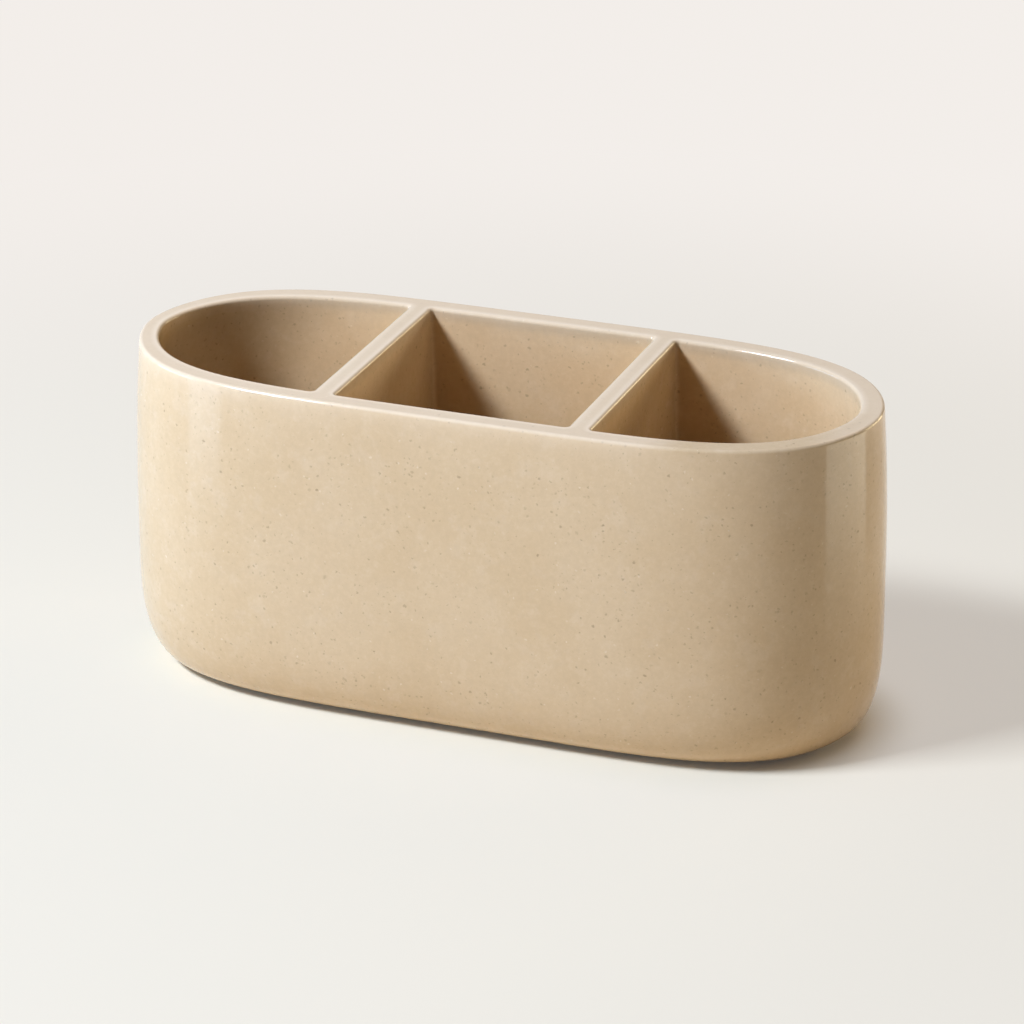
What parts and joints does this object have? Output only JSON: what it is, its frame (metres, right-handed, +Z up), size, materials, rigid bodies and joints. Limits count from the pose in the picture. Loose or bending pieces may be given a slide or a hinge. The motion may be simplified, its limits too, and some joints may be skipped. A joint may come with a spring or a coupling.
{
  "type": "brush cup",
  "caption": "Oval free-standing stoneware brush cup with upright compartments parted by cross walls, soft bottom curve and rounded rim.",
  "frame": {"origin": "on the plane that the foot ring rests on, under the middle of the cup's length and width", "axes": "+X along the cup's length towards the larger end compartment, +Y across it towards the back, +Z up"},
  "size_m": [0.2, 0.0816, 0.087],
  "materials": {
    "speckled_glaze": "glossy warm oat glaze with fine brown speckles"
  },
  "bodies": {
    "root": {"cup_body": "speckled_glaze", "partition_left": "speckled_glaze", "partition_right": "speckled_glaze"}
  },
  "joints": []
}
